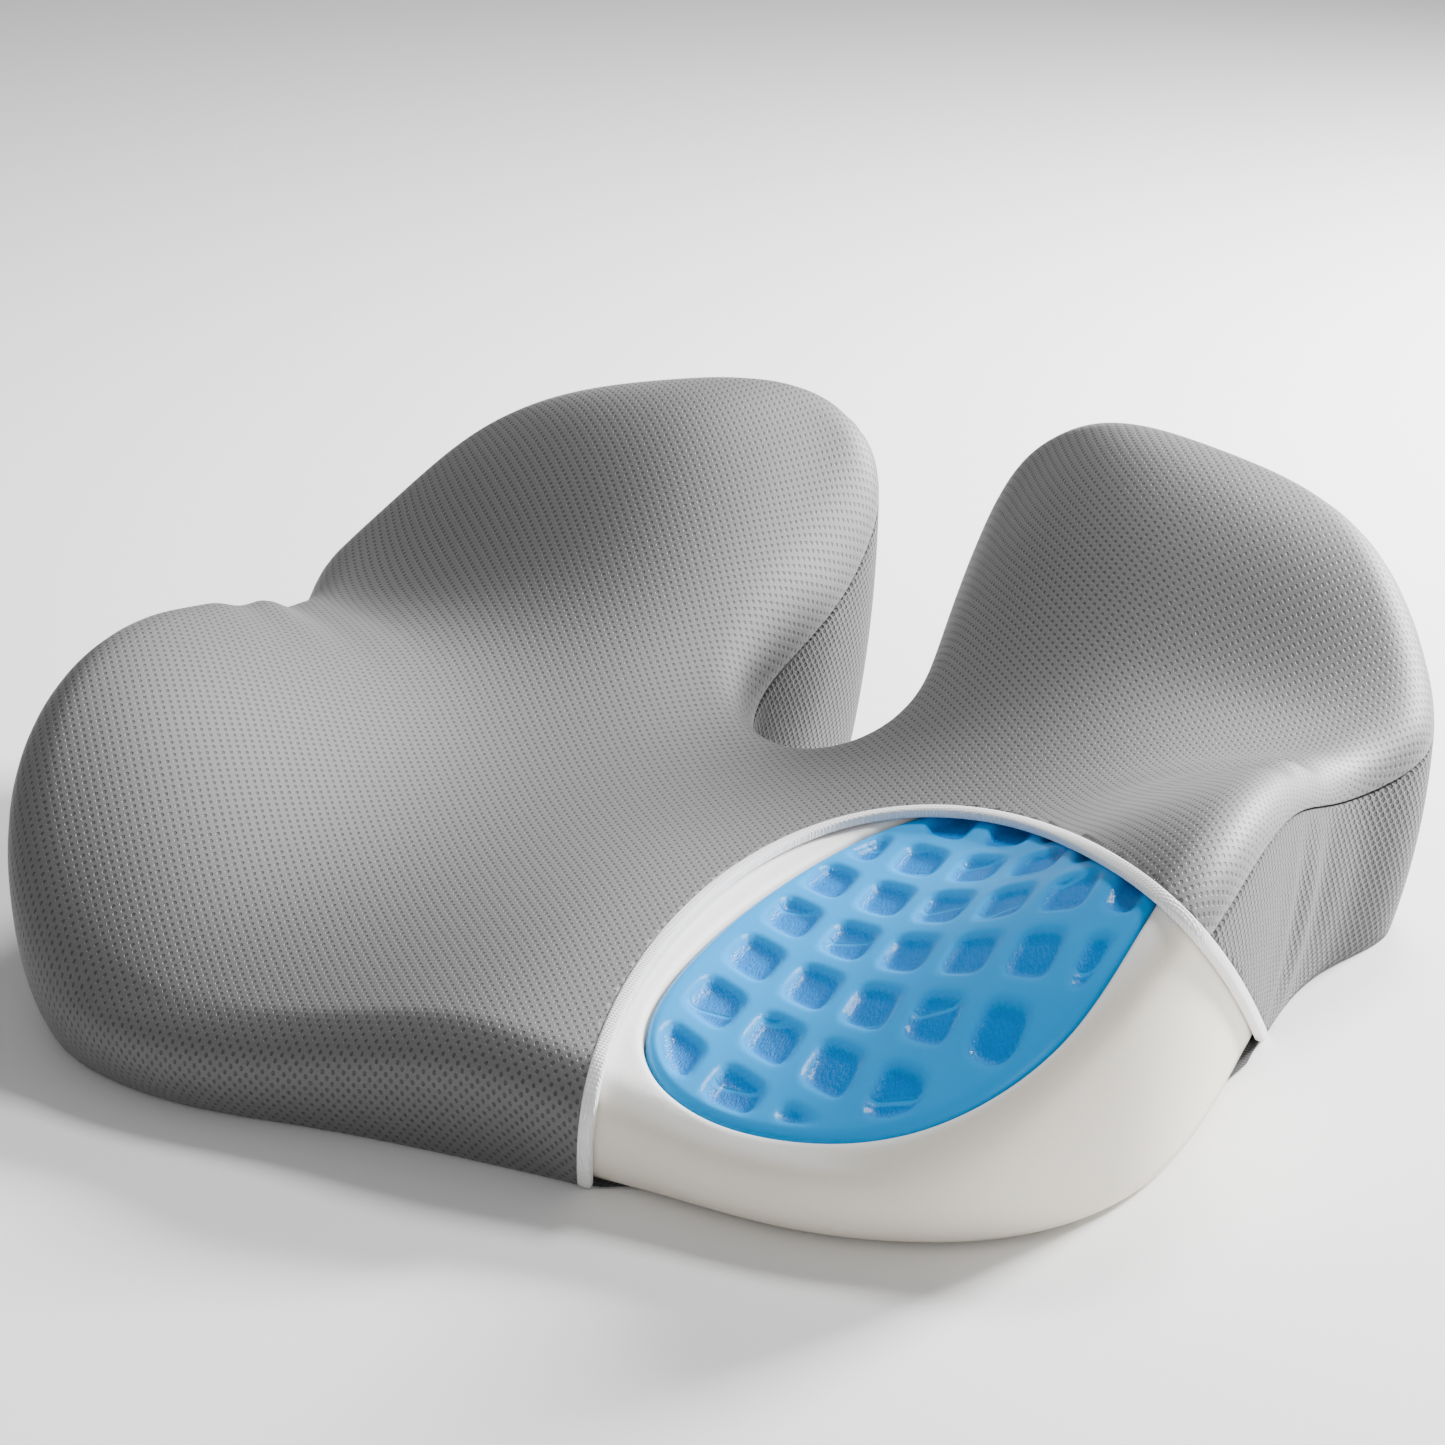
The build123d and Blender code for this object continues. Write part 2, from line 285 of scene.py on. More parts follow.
def window_value(points):
    """Positive outside the round window, negative inside it, in millimetres."""
    axis = WINDOW_AXIS / np.linalg.norm(WINDOW_AXIS)
    apex = WINDOW_CENTRE + axis * WINDOW_EYE_DISTANCE
    away = points - apex
    along = -(away @ axis)
    radial = np.linalg.norm(away + along[:, None] * axis, axis=1)
    value = radial - WINDOW_SLOPE * along
    return np.where(points[:, 1] > WINDOW_BACK_LIMIT, np.abs(value) + 1, value)


def cut_window(sheet):
    """The sheet without its part inside the window, with a clean cut edge."""
    value = window_value(sheet.verts)
    verts, uv = list(sheet.verts), list(sheet.uv)
    made = {}

    def crossing(i, j):
        key = (min(i, j), max(i, j))
        if key not in made:
            share = value[i] / (value[i] - value[j])
            made[key] = len(verts)
            verts.append(sheet.verts[i] * (1 - share) + sheet.verts[j] * share)
            uv.append(sheet.uv[i] * (1 - share) + sheet.uv[j] * share)
        return made[key]

    faces = []
    for face in sheet.faces:
        inside = [value[i] <= 0 for i in face]
        if not any(inside):
            faces.append(face)
        elif not all(inside):
            ring = []
            for i, j in zip(face, face[1:] + face[:1]):
                if value[i] > 0:
                    ring.append(i)
                if (value[i] > 0) != (value[j] > 0):
                    ring.append(crossing(i, j))
            faces.append(tuple(ring))
    return Sheet(verts, faces, uv)


def make_piece(name, sheet, material, body="cushion", thickness=0.0, smooth=True):
    """Blender object from a sheet, with doubled vertices merged and stray ones removed."""
    mesh = bpy.data.meshes.new(name)
    mesh.from_pydata([tuple(v) for v in sheet.verts * MM], [], sheet.faces)
    layer = mesh.uv_layers.new(name="cloth")
    corner = np.empty(len(mesh.loops), int)
    mesh.loops.foreach_get("vertex_index", corner)
    layer.data.foreach_set("uv", (sheet.uv[corner] * MM).ravel())
    work = bmesh.new()
    work.from_mesh(mesh)
    bmesh.ops.remove_doubles(work, verts=work.verts, dist=0.02 * MM)
    loose = [v for v in work.verts if not v.link_faces]
    bmesh.ops.delete(work, geom=loose, context="VERTS")
    bmesh.ops.recalc_face_normals(work, faces=work.faces)
    for face in work.faces:
        face.smooth = smooth
    work.to_mesh(mesh)
    work.free()
    piece = bpy.data.objects.new(name, mesh)
    bpy.context.scene.collection.objects.link(piece)
    piece.data.materials.append(material)
    if thickness:
        solid = piece.modifiers.new("thickness", "SOLIDIFY")
        solid.thickness = thickness * MM
        solid.offset = -1
    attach(piece, body)
    return piece


def strip_between(rows, uvs, columns):
    """Quads between rows of points; columns lists which neighbours are joined."""
    count = len(rows[0])
    faces = []
    for row in range(len(rows) - 1):
        for i in columns:
            j = (i + 1) % count
            a, b = row * count, (row + 1) * count
            faces.append((a + i, a + j, b + j, b + i))
    return Sheet(np.vstack(rows), faces, np.vstack(uvs))


# ---- cushion geometry ----------------------------------------------------------------------
RIM_HEIGHT = seat_height(RIM) - EDGE_RADIUS
RIM_CLOTH = cloth_coordinates(RIM)
RIM_LENGTH = np.r_[0, np.cumsum(np.linalg.norm(np.diff(RIM, axis=0), axis=1))]


def folds(points):
    """Soft creases in the cover where it is drawn in at the right and left waist."""
    x, y = np.abs(points[:, 0]), points[:, 1]
    near = np.exp(-((x - 205) / 42)**2 - ((y - 14) / 30)**2)
    wave = np.cos((y - 14 - 0.5 * (x - 200)) * 2 * pi / 34)
    return 1.5 * near * wave


def top_surface():
    """Seat surface with its rolled edge, out to the rim."""
    depths = [0, 0.5, 1.3, 2.6, 4.4, 6.8, 9.6, 12.8, 16]
    rings = [RIM - RIM_OUT * d for d in depths]
    grid = grid_points((-222, -205), (222, 212), 3.4)
    depth, _ = distance_inside(grid, RIM)
    xy = np.vstack(rings + [grid[depth > 17.5]])
    depth = np.r_[np.repeat(depths, len(RIM)), depth[depth > 17.5]].astype(float)

    def keep(centres):
        return distance_inside(centres, RIM)[0] > 0

    flat, faces = triangulate(xy, keep)
    depth, nearest = distance_inside(flat, RIM)
    depth = np.maximum(depth, 0)
    z = rounded_height(flat, depth, EDGE_RADIUS, 0)
    points = np.column_stack([flat, z])
    points[:, 2] += folds(points) * np.clip(depth / 10, 0, 1)
    share = np.clip(1 - depth / EDGE_RADIUS, 0, 1)
    extra = EDGE_RADIUS * (np.arcsin(share) - share)
    return Sheet(points, faces, cloth_coordinates(flat) + RIM_OUT[nearest] * extra[:, None])


def wall_row(share, drop=0.0, inward=0.0, down=0.0):
    """Ring of points on the wall: share 1 is the rim and 0 the base."""
    height = (RIM_HEIGHT - drop) * share - down
    inset = BASE_INSET * (1 - share)**2 + inward
    crease = folds(np.column_stack([RIM, RIM_HEIGHT])) * np.sin(pi * share)
    plan = RIM - RIM_OUT * (inset - crease)[:, None]
    return np.column_stack([plan, np.maximum(height, HEM_Z)])


def apron_sheet():
    """Front apron of the top cloth, from the rim down to the base seam."""
    shares = np.linspace(1, 0, 16)
    rows = [wall_row(s) for s in shares]
    uvs = []
    for row in rows:
        fall = RIM_HEIGHT - row[:, 2] + EDGE_RADIUS * (pi / 2 - 1)
        uvs.append(RIM_CLOTH + RIM_OUT * fall[:, None])
    rows.append(wall_row(0, inward=4))
    uvs.append(uvs[-1] + RIM_OUT * 4)
    front = [i for i in range(RIM_SAMPLES) if RIM[i, 1] < APRON_END_Y]
    return strip_between(rows, uvs, front)


def tucked_edge():
    """Edge of the top cloth turned in at the seam with the side band."""
    rows = [wall_row(1), wall_row(1, inward=0.5, down=0.35), wall_row(1, inward=1.8, down=0.4)]
    uvs = [RIM_CLOTH, RIM_CLOTH + RIM_OUT * 0.4, RIM_CLOTH + RIM_OUT * 1.5]
    behind = [i for i in range(RIM_SAMPLES) if RIM[i, 1] >= APRON_END_Y]
    return strip_between(rows, uvs, behind)


def band_sheet():
    """Side band from the seam under the rim down to the base."""
    seam = GROOVE + 0.35
    rows = [wall_row(1, inward=1.8, down=seam), wall_row(1, inward=0.45, down=seam + 0.1)]
    rows.append(wall_row(1, inward=0, down=seam + 0.7))
    rows += [wall_row(s) for s in np.linspace(0.95, 0, 18)]
    rows.append(wall_row(0, inward=4))
    uvs = [np.column_stack([RIM_LENGTH, row[:, 2]]) for row in rows]
    behind = [i for i in range(RIM_SAMPLES - 1) if RIM[i, 1] >= APRON_END_Y + GROOVE]
    return strip_between(rows, uvs, behind)


def whole_skin():
    """Outer surface of the unopened cover, for tracing the window's edge."""
    rows = [wall_row(s) for s in np.linspace(1, 0, 16)]
    wall = strip_between(rows, [RIM] * 16, range(RIM_SAMPLES))
    return top_surface().joined(wall)


def window_edge(skin):
    """Points and surface normals along the window's edge, from the left base to the right base."""
    tree = BVHTree.FromPolygons([Vector(v) for v in skin.verts], skin.faces)
    axis = WINDOW_AXIS / np.linalg.norm(WINDOW_AXIS)
    apex = WINDOW_CENTRE + axis * WINDOW_EYE_DISTANCE
    across = np.cross((0, 0, 1), axis)
    across /= np.linalg.norm(across)
    upward = np.cross(axis, across)
    points, normals = [], []
    for angle in np.radians(np.arange(200, -60, -0.5)):
        ray = -axis + WINDOW_SLOPE * (cos(angle) * across + sin(angle) * upward)
        hit, normal, _, _ = tree.ray_cast(Vector(apex), Vector(ray / np.linalg.norm(ray)))
        if hit is None:
            continue
        facing = normal if normal.dot(Vector(ray)) < 0 else -normal
        points.append(tuple(hit))
        normals.append(tuple(facing))
    return np.array(points), np.array(normals)


def smooth_rows(values, passes):
    """Running average along a row of vectors that leaves its ends in place."""
    values = values.copy()
    for _ in range(passes):
        values[1:-1] = (values[:-2] + 2 * values[1:-1] + values[2:]) / 4
    return values


def binding_sheet(points, normals):
    """White tape folded over the cut edge: a flattened tube along it."""
    normals = smooth_rows(normals, 12)
    normals /= np.linalg.norm(normals, axis=1)[:, None]
    tangent = np.gradient(points, axis=0)
    tangent /= np.linalg.norm(tangent, axis=1)[:, None]
    side = np.cross(normals, tangent)
    side /= np.linalg.norm(side, axis=1)[:, None]
    inward = window_value(points + side) < window_value(points - side)
    side = np.where(inward[:, None], side, -side)
    half = BINDING_WIDTH / 2
    profile = []
    for angle in np.radians(np.arange(0, 360, 18)):
        across = half + half * np.sign(cos(angle)) * abs(cos(angle))**0.45
        high = -0.9 + 1.7 * np.sign(sin(angle)) * abs(sin(angle))**0.6
        profile.append((across - 0.6, high))
    rows = [points + side * a + normals * h for a, h in profile]
    for row in rows:
        row[:, 2] = np.maximum(row[:, 2], 0.2)
    length = np.r_[0, np.cumsum(np.linalg.norm(np.diff(points, axis=0), axis=1))]
    count = len(points)
    uvs = [np.column_stack([length, np.full(count, k * 0.9)]) for k in range(len(rows))]
    rows.append(rows[0])
    uvs.append(np.column_stack([length, np.full(count, len(rows) * 0.9)]))
    tube = strip_between(rows, uvs, range(count - 1))
    ends = [tuple(k * count for k in range(len(profile)))]
    ends.append(tuple(k * count + count - 1 for k in range(len(profile)))[::-1])
    tube.faces += ends
    return tube


def foam_sheet():
    """Foam core: rounded top with two gel recesses, tapering wall, and base with the zip channel."""
    inset = FABRIC + EASE
    radius = EDGE_RADIUS - FABRIC
    ring = RIM - RIM_OUT * inset
    depths = [0, 0.5, 1.3, 2.6, 4.4, 6.8, 9.6, 13]
    mirrored = np.column_stack([-GEL_RING[:, 0], GEL_RING[:, 1]])
    mirrored_out = np.column_stack([-GEL_OUT[:, 0], GEL_OUT[:, 1]])
    lip_steps = (-3.2, -1.2, -0.25, 0.3, 1.0, 2.0, 3.2)
    lips = [GEL_RING + GEL_OUT * s for s in lip_steps]
    lips += [mirrored + mirrored_out * s for s in lip_steps]
    grid = grid_points((-222, -205), (222, 212), 4.4)
    depth, _ = distance_inside(grid, ring)
    right, _ = distance_inside(np.column_stack([np.abs(grid[:, 0]), grid[:, 1]]), GEL_RING)
    clear = (depth > 15) & (np.abs(right) > 4.5)
    wide = np.vstack([ring - RIM_OUT * d for d in depths])
    apart = distance_inside(np.column_stack([np.abs(wide[:, 0]), wide[:, 1]]), GEL_RING)[0] < -4.2
    wide = wide[apart | (np.arange(len(wide)) < len(ring))]
    lips = np.vstack(lips)
    lips = lips[distance_inside(lips, ring)[0] > 1.0]
    xy = np.vstack([wide, lips, grid[clear]])

    def keep(centres):
        return distance_inside(centres, ring)[0] > 0

    flat, faces = triangulate(xy, keep)
    depth = np.maximum(distance_inside(flat, ring)[0], 0)
    z = rounded_height(flat, depth, radius, inset)
    lip, _ = distance_inside(np.column_stack([np.abs(flat[:, 0]), flat[:, 1]]), GEL_RING)
    roll = np.clip(1 + lip / RECESS_LIP, 0, 1)
    z -= np.where(lip > -0.1, GEL_THICKNESS + 0.6, RECESS_LIP * (1 - np.sqrt(1 - roll**2)))
    top = Sheet(np.column_stack([flat, z]), faces, flat)
    high = seat_height(RIM) - inset - radius
    rows = []
    for share in np.linspace(1, 0, 20):
        plan = ring - RIM_OUT * (BASE_INSET * (1 - share)**2.2)
        rows.append(np.column_stack([plan, FOAM_BASE_Z + (high - FOAM_BASE_Z) * share]))
    rows[0][:, 2] = rounded_height(ring, np.zeros(len(ring)), radius, inset)
    tuck = ring - RIM_OUT * (BASE_INSET + 4)
    rows.append(np.column_stack([tuck, np.full(len(ring), FOAM_BASE_Z)]))
    wall = strip_between(rows, [row[:, :2] for row in rows], range(RIM_SAMPLES))
    plate = base_plate(tuck, FOAM_BASE_Z, CHANNEL_END, CHANNEL_HALF)
    return top.joined(wall).joined(plate).joined(channel())


def base_plate(ring, z, end, half):
    """Flat face inside a ring, with a rectangular opening for the zip."""
    xs = np.arange(-end, end + 0.1, 9)
    edge = [(x, ZIP_Y + s * half) for x in xs for s in (-1, 1)]
    edge += [(s * end, ZIP_Y + y) for y in np.linspace(-half, half, 5) for s in (-1, 1)]
    grid = grid_points((-222, -205), (222, 212), 12)
    depth, _ = distance_inside(grid, ring)
    outside = (np.abs(grid[:, 0]) > end + 4) | (np.abs(grid[:, 1] - ZIP_Y) > half + 4)
    xy = np.vstack([ring, edge, grid[(depth > 6) & outside]])

    def keep(centres):
        free = (np.abs(centres[:, 0]) > end) | (np.abs(centres[:, 1] - ZIP_Y) > half)
        return (distance_inside(centres, ring)[0] > 0) & free

    flat, faces = triangulate(xy, keep)
    return Sheet(np.column_stack([flat, np.full(len(flat), z)]), faces, flat)


def channel():
    """Walls and ceiling of the zip channel in the foam."""
    xs = np.arange(-CHANNEL_END, CHANNEL_END + 0.1, 9)
    rows = []
    for turn, z in ((-1, FOAM_BASE_Z), (-1, CHANNEL_TOP), (1, CHANNEL_TOP), (1, FOAM_BASE_Z)):
        y = np.full(len(xs), ZIP_Y + turn * CHANNEL_HALF)
        rows.append(np.column_stack([xs, y, np.full(len(xs), z)]))
    sheet = strip_between(rows, [row[:, :2] for row in rows], range(len(xs) - 1))
    count = len(xs)
    sheet.faces += [(0, count, 2 * count, 3 * count)]
    sheet.faces += [(count - 1, 4 * count - 1, 3 * count - 1, 2 * count - 1)]
    return sheet


def gel_cells(flat):
    """Depth of the dimple at each point, from 0 on the ridges to 1 at the bottom."""
    basis = np.linalg.inv(np.column_stack([CELL_ACROSS, CELL_ALONG]))
    cell = (flat - CELL_ORIGIN) @ basis.T
    off = np.abs(cell - np.round(cell)) * 2
    box = (off[:, 0]**4 + off[:, 1]**4)**0.25
    return np.clip((0.80 - box) / 0.34, 0, 1)


def gel_sheet():
    """Gel pad with rounded edges and rows of soft square dimples."""
    ring = GEL_RING - GEL_OUT * 0.4
    depths = [0, 0.3, 0.8, 1.6, 2.6, 3.8]
    grid = grid_points((30, -195), (200, 26), 1.9)
    depth, _ = distance_inside(grid, ring)
    xy = np.vstack([ring - GEL_OUT * d for d in depths] + [grid[depth > 5]])

    def keep(centres):
        return distance_inside(centres, ring)[0] > 0

    flat, faces = triangulate(xy, keep)
    depth = np.maximum(distance_inside(flat, ring)[0], 0)
    sunk = gel_cells(flat) * np.clip((depth - 3.5) / 5, 0, 1)
    sunk = sunk * sunk * (3 - 2 * sunk)
    share = np.clip(1 - depth / GEL_EDGE, 0, 1)
    top = seat_height(flat) - GEL_DROP - GEL_EDGE * (1 - np.sqrt(1 - share**2)) - CELL_DEPTH * sunk
    low = seat_height(flat) - GEL_DROP - GEL_THICKNESS
    upper = Sheet(np.column_stack([flat, top]), faces, flat)
    lower = Sheet(np.column_stack([flat, low]), faces[:, ::-1], flat)
    around = closed_wall(ring)
    return upper.joined(lower).joined(around), sunk


def closed_wall(ring):
    """Upright wall of the gel pad."""
    height = seat_height(ring) - GEL_DROP
    shares = np.linspace(0, 1, 5)
    rows = []
    for share in shares:
        z = height - GEL_EDGE - share * (GEL_THICKNESS - GEL_EDGE)
        rows.append(np.column_stack([ring, z]))
    return strip_between(rows, [row[:, :2] for row in rows], range(len(ring)))


def base_cloth(front):
    """Cloth of the underside in front of or behind the zip, edges turned up into the channel."""
    ring = RIM - RIM_OUT * (BASE_INSET + 0.8)
    value = window_value(np.column_stack([RIM, np.zeros(len(RIM))]))
    setback = np.clip(-value / 12, 0, 1) * 9
    ring = ring - RIM_OUT * setback[:, None]
    end, half = CHANNEL_END - CHANNEL_LINING, CHANNEL_HALF - CHANNEL_LINING
    plate = base_plate(ring, BASE_CLOTH_Z, end, half)
    side = (plate.verts[:, 1] - ZIP_Y) * (-1 if front else 1)
    faces = []
    for face in plate.faces:
        middle = np.mean([side[i] for i in face])
        if middle > 0:
            faces.append(face)
    plate.faces = faces
    sign = -1 if front else 1
    xs = np.arange(-end, end + 0.1, 6)
    rows = []
    for out, z in ((0, BASE_CLOTH_Z), (-0.5, 1.6), (-0.5, 5), (-0.5, LIP_TOP_Z)):
        y = np.full(len(xs), ZIP_Y + sign * (half + out))
        rows.append(np.column_stack([xs, y, np.full(len(xs), z)]))
    lip = strip_between(rows, [row[:, :2] for row in rows], range(len(xs) - 1))
    plate = plate.joined(lip)
    for turn in (-1, 1):
        plate = plate.joined(channel_end_cloth(turn, sign, end, half))
    return plate


def channel_end_cloth(turn, sign, end, half):
    """Cloth turned up at one end of the zip channel and laid on its ceiling as far as the tape."""
    ys = ZIP_Y + sign * np.linspace(0, half + 0.5, 4)
    rows = []
    wall = end + 0.5
    corners = ((end, BASE_CLOTH_Z), (wall, 1.6), (wall, 5), (wall, END_CLOTH_Z), (ZIP_TAPE_END, END_CLOTH_Z))
    for x, z in corners:
        rows.append(np.column_stack([np.full(4, turn * x), ys, np.full(4, z)]))
    return strip_between(rows, [row[:, :2] for row in rows], range(3))


def grip_dots(front):
    """Small raised grip dots on the underside cloth, in staggered rows."""
    ring = RIM - RIM_OUT * (BASE_INSET + 16)
    spots = grid_points((-200, -196), (200, 205), DOT_SPACING)
    depth, _ = distance_inside(spots, ring)
    value = window_value(np.column_stack([spots, np.zeros(len(spots))]))
    beyond = np.abs(spots[:, 0]) > CHANNEL_END + 5
    free = beyond | (np.abs(spots[:, 1] - ZIP_Y) > CHANNEL_HALF + 5)
    side = (spots[:, 1] < ZIP_Y - 5) if front else (spots[:, 1] > ZIP_Y + 5)
    spots = spots[(depth > 0) & free & side & ((value > 0) | (depth > 6))]
    around = np.radians(np.arange(0, 360, 45))
    verts, faces = [], []
    for spot in spots:
        first = len(verts)
        for radius, z in ((2.1, 0.75), (1.6, 0.32), (0.8, 0.12)):
            verts += [(spot[0] + radius * cos(a), spot[1] + radius * sin(a), z) for a in around]
        for row in range(2):
            for i in range(8):
                j = (i + 1) % 8
                a, b = first + row * 8, first + row * 8 + 8
                faces.append((a + i, a + j, b + j, b + i))
        faces.append(tuple(first + 16 + i for i in range(8)))
        faces.append(tuple(first + i for i in range(8))[::-1])
    verts = np.array(verts)
    return Sheet(verts, faces, verts[:, :2])


# ---- materials -----------------------------------------------------------------------------
class Nodes:
    """Small helper that builds a material's node tree."""

    def __init__(self, name):
        self.material = bpy.data.materials.new(name)
        self.material.use_nodes = True
        self.tree = self.material.node_tree
        self.shader = self.tree.nodes["Principled BSDF"]

    def node(self, kind, **settings):
        made = self.tree.nodes.new(kind)
        for key, value in settings.items():
            setattr(made, key, value)
        return made

    def link(self, source, target):
        self.tree.links.new(source, target)

    def feed(self, target, value):
        if isinstance(value, bpy.types.NodeSocket):
            self.link(value, target)
        else:
            target.default_value = value

    def math(self, operation, first, second=0.0, third=0.0, clamp=False):
        made = self.node("ShaderNodeMath", operation=operation, use_clamp=clamp)
        for socket, value in zip(made.inputs, (first, second, third)):
            self.feed(socket, value)
        return made.outputs[0]

    def vector(self, operation, first, second=(0, 0, 0), scale=1.0):
        made = self.node("ShaderNodeVectorMath", operation=operation)
        self.feed(made.inputs[0], first)
        self.feed(made.inputs[1], second)
        if operation == "SCALE":
            made.inputs["Scale"].default_value = scale
        return made.outputs["Value" if operation in ("LENGTH", "DISTANCE") else "Vector"]

    def smooth(self, value, low, high):
        made = self.node("ShaderNodeMapRange", interpolation_type="SMOOTHSTEP")
        self.feed(made.inputs["Value"], value)
        made.inputs["From Min"].default_value = low
        made.inputs["From Max"].default_value = high
        return made.outputs["Result"]

    def mix(self, factor, first, second):
        made = self.node("ShaderNodeMix", data_type="RGBA")
        self.feed(made.inputs[0], factor)
        self.feed(made.inputs[6], first)
        self.feed(made.inputs[7], second)
        return made.outputs[2]

    def noise(self, vector, scale, detail=3.0):
        made = self.node("ShaderNodeTexNoise")
        self.link(vector, made.inputs["Vector"])
        made.inputs["Scale"].default_value = scale
        made.inputs["Detail"].default_value = detail
        return made.outputs["Fac"]

    def cloth(self):
        return self.node("ShaderNodeUVMap", uv_map="cloth").outputs["UV"]

    def place(self):
        return self.node("ShaderNodeTexCoord").outputs["Object"]

    def bump(self, height, distance, strength=1.0):
        made = self.node("ShaderNodeBump")
        made.inputs["Strength"].default_value = strength
        made.inputs["Distance"].default_value = distance
        self.link(height, made.inputs["Height"])
        self.link(made.outputs["Normal"], self.shader.inputs["Normal"])

    def set(self, **values):
        for key, value in values.items():
            self.feed(self.shader.inputs[key.replace("_", " ")], value)
        return self


def lattice(nodes, vector, pitch, shape, turn=0.0):
    """Distance to the nearest point of a staggered lattice, in pitches."""
    turned = nodes.node("ShaderNodeVectorRotate", rotation_type="Z_AXIS")
    nodes.link(vector, turned.inputs["Vector"])
    turned.inputs["Angle"].default_value = turn
    scaled = nodes.vector("MULTIPLY", turned.outputs[0], (1 / pitch[0], 1 / pitch[1], 0))
    distances = []
    for shift in (0.0, 0.5):
        moved = nodes.vector("ADD", scaled, (shift, shift, 0))
        local = nodes.vector("SUBTRACT", nodes.vector("FRACTION", moved), (0.5, 0.5, 0))
        distances.append(nodes.vector("LENGTH", nodes.vector("MULTIPLY", local, shape)))
    return nodes.math("MINIMUM", *distances)


def mesh_top_material():
    """Light grey spacer mesh with small dark pores in staggered rows."""
    n = Nodes("mesh_top")
    cloth = n.cloth()
    spot = lattice(n, cloth, (0.0037, 0.0041), (4.3, 3.6, 0))
    pore = n.smooth(spot, 0.82, 0.50)
    fibre = n.noise(cloth, 1500, 2.0)
    patch = n.noise(n.place(), 14, 2.0)
    tone = n.mix(patch, (0.072, 0.072, 0.073, 1), (0.09, 0.09, 0.091, 1))
    tone = n.mix(n.math("MULTIPLY", fibre, 0.35), tone, (0.17, 0.17, 0.17, 1))
    n.set(Base_Color=n.mix(pore, tone, (0.028, 0.028, 0.029, 1)), Roughness=0.6)
    n.set(Sheen_Weight=0.1, Sheen_Roughness=0.4, Specular_IOR_Level=0.9)
    n.bump(n.math("SUBTRACT", n.math("MULTIPLY", fibre, 0.25), pore), 0.0004, 0.8)
    return n.material


def mesh_side_material():
    """Darker, coarser knit with diamond openings on the side band."""
    n = Nodes("mesh_side")
    cloth = n.cloth()
    spot = lattice(n, cloth, (0.0046, 0.0034), (2.6, 2.6, 0), 0.35)
    hole = n.smooth(spot, 0.95, 0.45)
    fibre = n.noise(cloth, 1100, 2.0)
    tone = n.mix(fibre, (0.048, 0.048, 0.049, 1), (0.105, 0.105, 0.107, 1))
    n.set(Base_Color=n.mix(hole, tone, (0.018, 0.018, 0.019, 1)), Roughness=0.75)
    n.set(Sheen_Weight=0.25, Sheen_Roughness=0.5, Specular_IOR_Level=0.3)
    n.bump(n.math("SUBTRACT", n.math("MULTIPLY", fibre, 0.3), hole), 0.0007, 0.9)
    return n.material


def foam_material():
    """Warm white moulded foam with a fine skin, painted lighter on faces that point up and darker, warmer on
    its sides as painted shade.
    """
    n = Nodes("foam")
    grain = n.noise(n.place(), 900, 4.0)
    patch = n.noise(n.place(), 20, 2.0)
    upright = n.node("ShaderNodeSeparateXYZ")
    n.link(n.node("ShaderNodeNewGeometry").outputs["Normal"], upright.inputs[0])
    # Painted light and shade: faces that point up take the lighter top colour, the walls the darker, warmer
    # side colour.
    lit_top_share = n.smooth(upright.outputs["Z"], 0.55, 0.9)
    side = n.mix(patch, (0.80, 0.74, 0.64, 1), (0.84, 0.785, 0.69, 1))
    top = n.mix(patch, (0.90, 0.89, 0.87, 1), (0.93, 0.925, 0.91, 1))
    n.set(Base_Color=n.mix(lit_top_share, side, top), Roughness=0.55)
    n.set(Subsurface_Weight=0.1, Subsurface_Scale=0.006, Specular_IOR_Level=0.35)
    n.bump(grain, 0.0002, 0.35)
    return n.material


def gel_material():
    """Clear blue gel under a glossy film that is puckered in the dimples, its blue painted darker towards
    the dimple bottoms as painted shade.
    """
    n = Nodes("gel")
    depth = n.node("ShaderNodeAttribute", attribute_name="dimple").outputs["Fac"]
    place = n.place()
    patch = n.noise(place, 35, 2.0)
    # Painted shade: the blue darkens with dimple depth, from the ridge colours to the deeper low colour.
    high = n.mix(patch, (0.0, 0.30, 0.74, 1), (0.0, 0.36, 0.84, 1))
    low = (0.0, 0.19, 0.60, 1)
    n.set(Base_Color=n.mix(n.math("MULTIPLY", depth, 0.9), high, low), Roughness=0.3)
    n.set(Coat_Weight=0.12, Coat_Roughness=0.08, Specular_IOR_Level=0.08)
    stretched = n.vector("MULTIPLY", place, (1900, 520, 700))
    pucker = n.noise(stretched, 1.0, 2.0)
    edge = n.math("MULTIPLY", n.smooth(depth, 0.15, 0.7), pucker)
    n.bump(edge, 0.0006, 0.75)
    return n.material


def woven_material(name, low, high, pitch, roughness=0.8):
    """Plain weave of crossing threads."""
    n = Nodes(name)
    across = n.node("ShaderNodeTexWave", bands_direction="X")
    along = n.node("ShaderNodeTexWave", bands_direction="Y")
    place = n.place()
    for wave in (across, along):
        n.link(place, wave.inputs["Vector"])
        wave.inputs["Scale"].default_value = 1 / pitch
        wave.inputs["Distortion"].default_value = 0.6
    weave = n.math("MULTIPLY", across.outputs["Fac"], along.outputs["Fac"])
    patch = n.noise(place, 60, 3.0)
    tone = n.mix(n.math("ADD", weave, n.math("MULTIPLY", patch, 0.3), clamp=True), low, high)
    n.set(Base_Color=tone, Roughness=roughness, Sheen_Weight=0.2, Specular_IOR_Level=0.3)
    n.bump(weave, 0.0003, 0.7)
    return n.material


def moulded_material(name, low, high, roughness, metallic=0.0):
    """Moulded plastic or cast metal with a fine uneven surface."""
    n = Nodes(name)
    place = n.place()
    patch = n.noise(place, 260, 3.0)
    rough = n.math("MULTIPLY_ADD", patch, 0.2, roughness - 0.1)
    n.set(Base_Color=n.mix(patch, low, high), Roughness=rough, Metallic=metallic)
    n.bump(patch, 0.0001, 0.4)
    return n.material


